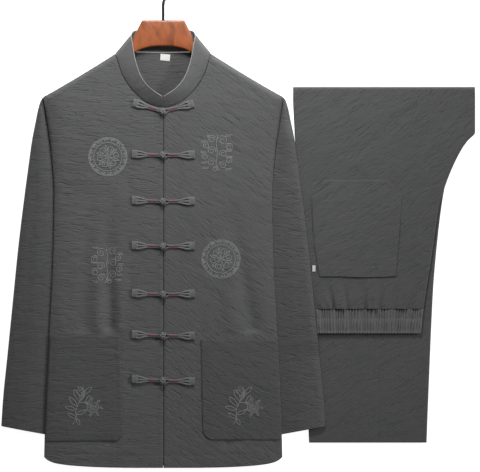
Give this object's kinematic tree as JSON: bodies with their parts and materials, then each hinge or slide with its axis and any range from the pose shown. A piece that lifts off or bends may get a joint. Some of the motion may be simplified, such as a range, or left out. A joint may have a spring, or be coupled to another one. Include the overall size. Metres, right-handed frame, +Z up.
{
  "type": "tai chi uniform with hanger",
  "caption": "Charcoal stand-collar jacket with knotted frog closures laid flat on a wooden hanger, one sleeve over its folded elastic-waist trousers.",
  "frame": {"origin": "middle of the bounding box on the table plane that the laid set rests on", "axes": "+Y towards the hanger's hook and the jacket's collar, +X towards the folded trousers, +Z up from the table"},
  "size_m": [0.8144, 0.8424, 0.0346],
  "materials": {
    "linen": "crinkled linen-like weave, charcoal grey, matte",
    "frog_cord": "corded cloth, charcoal grey, bound with dark red thread",
    "hanger_wood": "glossy red-brown varnish",
    "hook_wire": "gloss black",
    "label_tape": "white woven tape, blank"
  },
  "bodies": {
    "root": {"jacket_back": "linen", "jacket_front_right": "linen", "jacket_front_left": "linen", "jacket_sleeve_right": "linen", "jacket_sleeve_left": "linen", "jacket_collar": "linen", "jacket_pocket_right": "linen", "jacket_pocket_left": "linen", "jacket_neck_label": "label_tape", "frog_1_knot": "frog_cord", "frog_1_loop": "frog_cord", "frog_2_knot": "frog_cord", "frog_2_loop": "frog_cord", "frog_3_knot": "frog_cord", "frog_3_loop": "frog_cord", "frog_4_knot": "frog_cord", "frog_4_loop": "frog_cord", "frog_5_knot": "frog_cord", "frog_5_loop": "frog_cord", "frog_6_knot": "frog_cord", "frog_6_loop": "frog_cord", "frog_7_knot": "frog_cord", "frog_7_loop": "frog_cord", "hanger_wood": "hanger_wood", "hanger_hook": "hook_wire", "trousers_layers": "linen", "trousers_lower_leg": "linen", "trousers_seat": "linen", "trousers_waistband": "linen", "trousers_pocket": "linen", "trousers_pocket_tab": "label_tape"}
  },
  "joints": []
}
